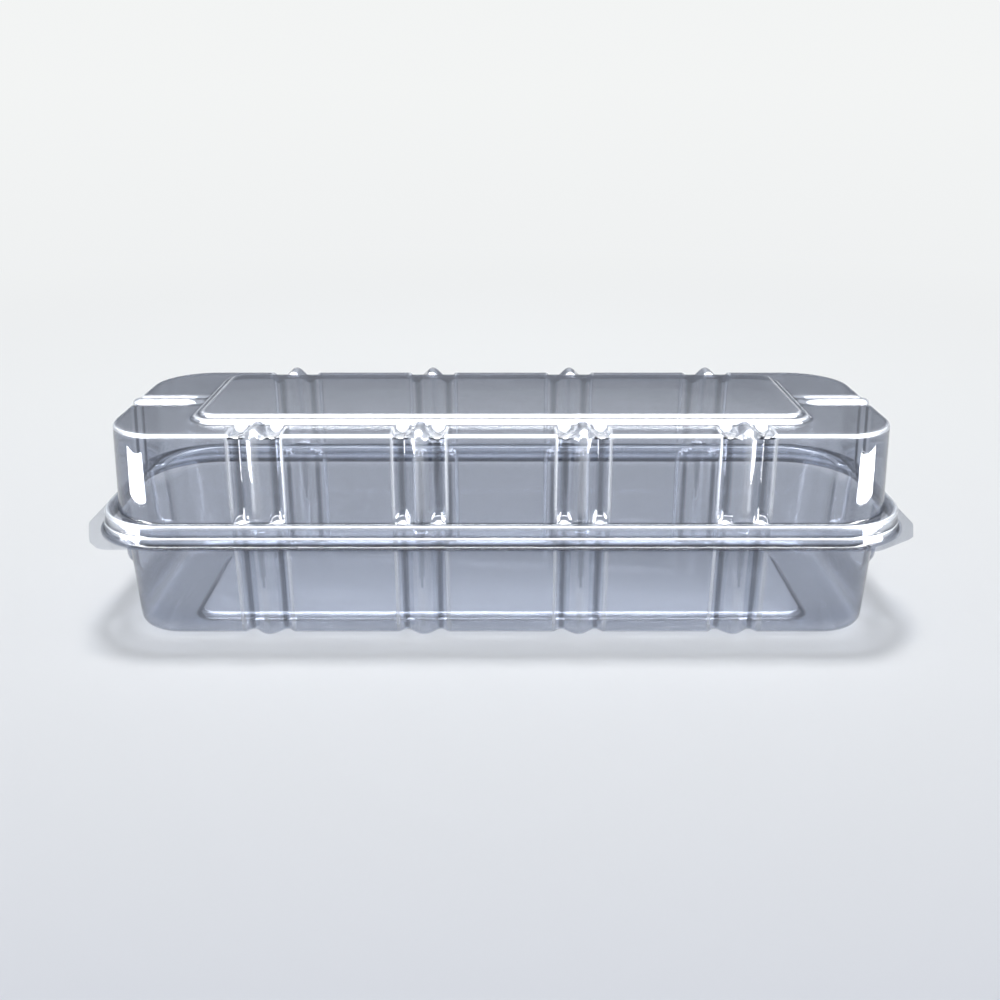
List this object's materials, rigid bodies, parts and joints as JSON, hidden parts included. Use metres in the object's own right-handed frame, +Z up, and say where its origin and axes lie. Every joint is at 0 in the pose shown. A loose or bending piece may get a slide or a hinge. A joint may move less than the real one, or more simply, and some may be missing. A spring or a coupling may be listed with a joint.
{
  "type": "hinged clear plastic clamshell pack",
  "caption": "Long hinged clear plastic food pack with ribbed walls, a raised lid panel, a closing lip and corner opening tabs.",
  "frame": {"origin": "middle of the underside, on the surface that the closed pack rests on", "axes": "+X along the length, the front with the opening tabs is -Y, the living hinge is along +Y, +Z up"},
  "size_m": [0.3404, 0.1131, 0.0888],
  "materials": {
    "clear_film": "clear gloss"
  },
  "bodies": {
    "tray": {"base_tray": "clear_film", "living_hinge": "clear_film"},
    "cover": {"lid": "clear_film"}
  },
  "joints": [
    {"name": "lid_hinge", "type": "hinge", "parent": "tray", "child": "cover", "pos_m": [0, 0.0565, 0.04065], "axis": [-1, 0, 0], "range_deg": [0, 160]}
  ]
}
